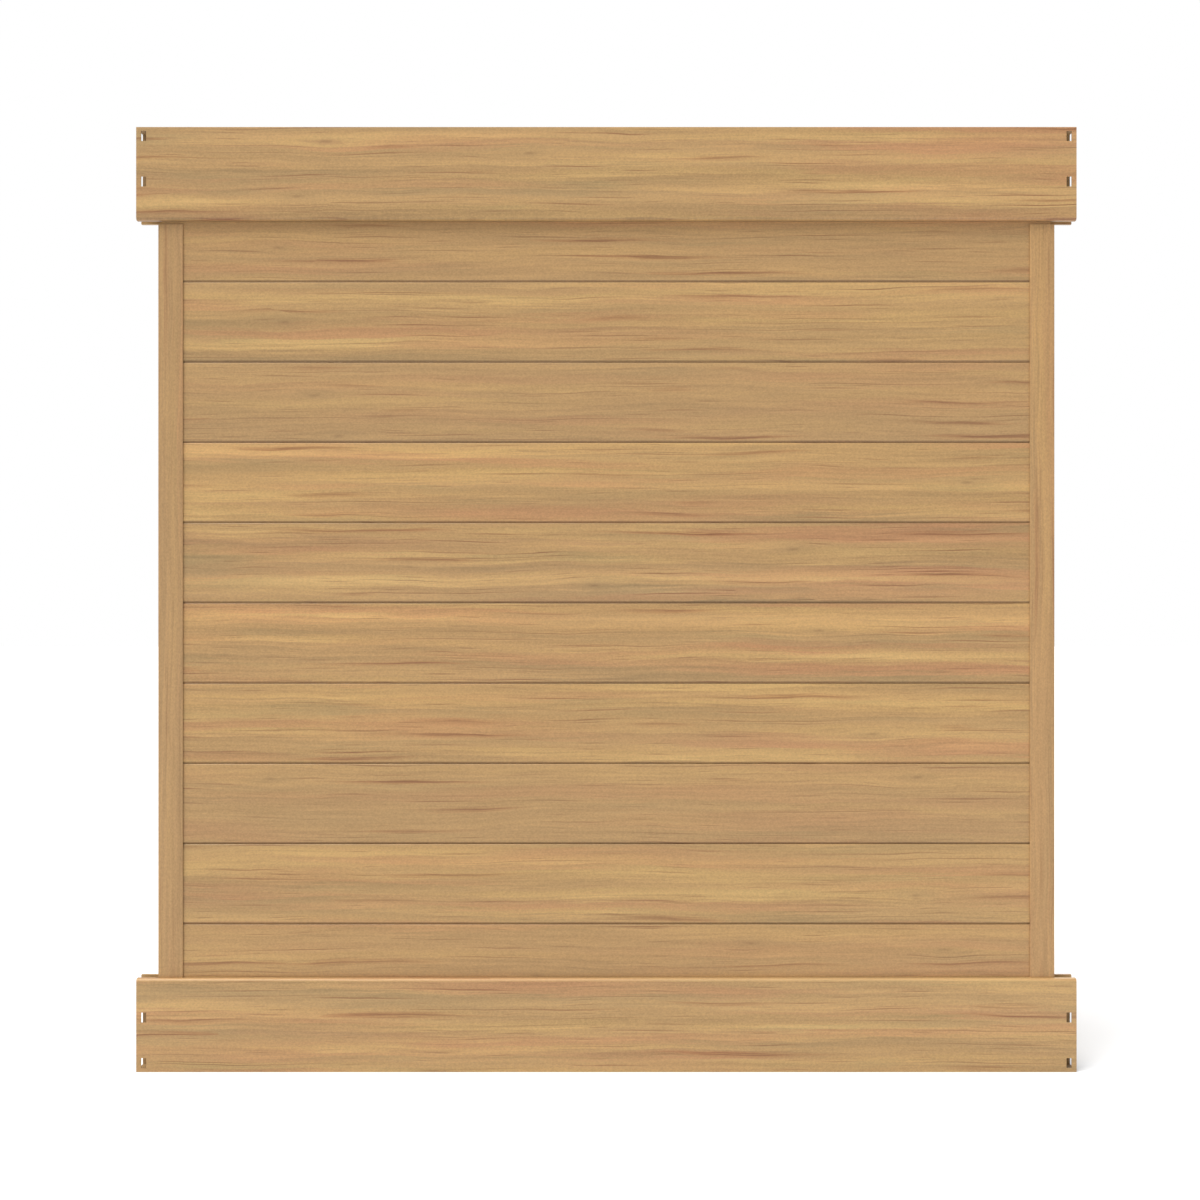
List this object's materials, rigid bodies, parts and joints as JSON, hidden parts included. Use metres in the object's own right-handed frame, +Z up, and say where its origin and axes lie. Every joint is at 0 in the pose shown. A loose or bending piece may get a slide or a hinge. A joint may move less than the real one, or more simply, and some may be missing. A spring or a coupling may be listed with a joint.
{
  "type": "vinyl privacy fence panel",
  "caption": "Privacy fence panel of stacked tongue-and-groove boards in pocketed top and bottom rails, with a U-channel over the board ends at each post.",
  "frame": {"origin": "centre of the panel's footprint, on the plane that the bottom rail's underside stands on", "axes": "+X along the boards towards the right post, +Y from the front to the back, +Z up"},
  "size_m": [1.778, 0.0508, 1.787],
  "materials": {
    "rail_vinyl": "embossed woodgrain, satin",
    "board_vinyl": "embossed woodgrain, satin",
    "channel_vinyl": "embossed woodgrain, satin",
    "stiffener_metal": "mill"
  },
  "bodies": {
    "root": {"bottom_rail": "rail_vinyl", "bottom_rail_stiffener": "stiffener_metal", "board_01": "board_vinyl", "board_02": "board_vinyl", "board_03": "board_vinyl", "board_04": "board_vinyl", "board_05": "board_vinyl", "board_06": "board_vinyl", "board_07": "board_vinyl", "board_08": "board_vinyl", "board_09": "board_vinyl", "board_10": "board_vinyl", "left_channel": "channel_vinyl", "right_channel": "channel_vinyl", "top_rail": "rail_vinyl"}
  },
  "joints": []
}
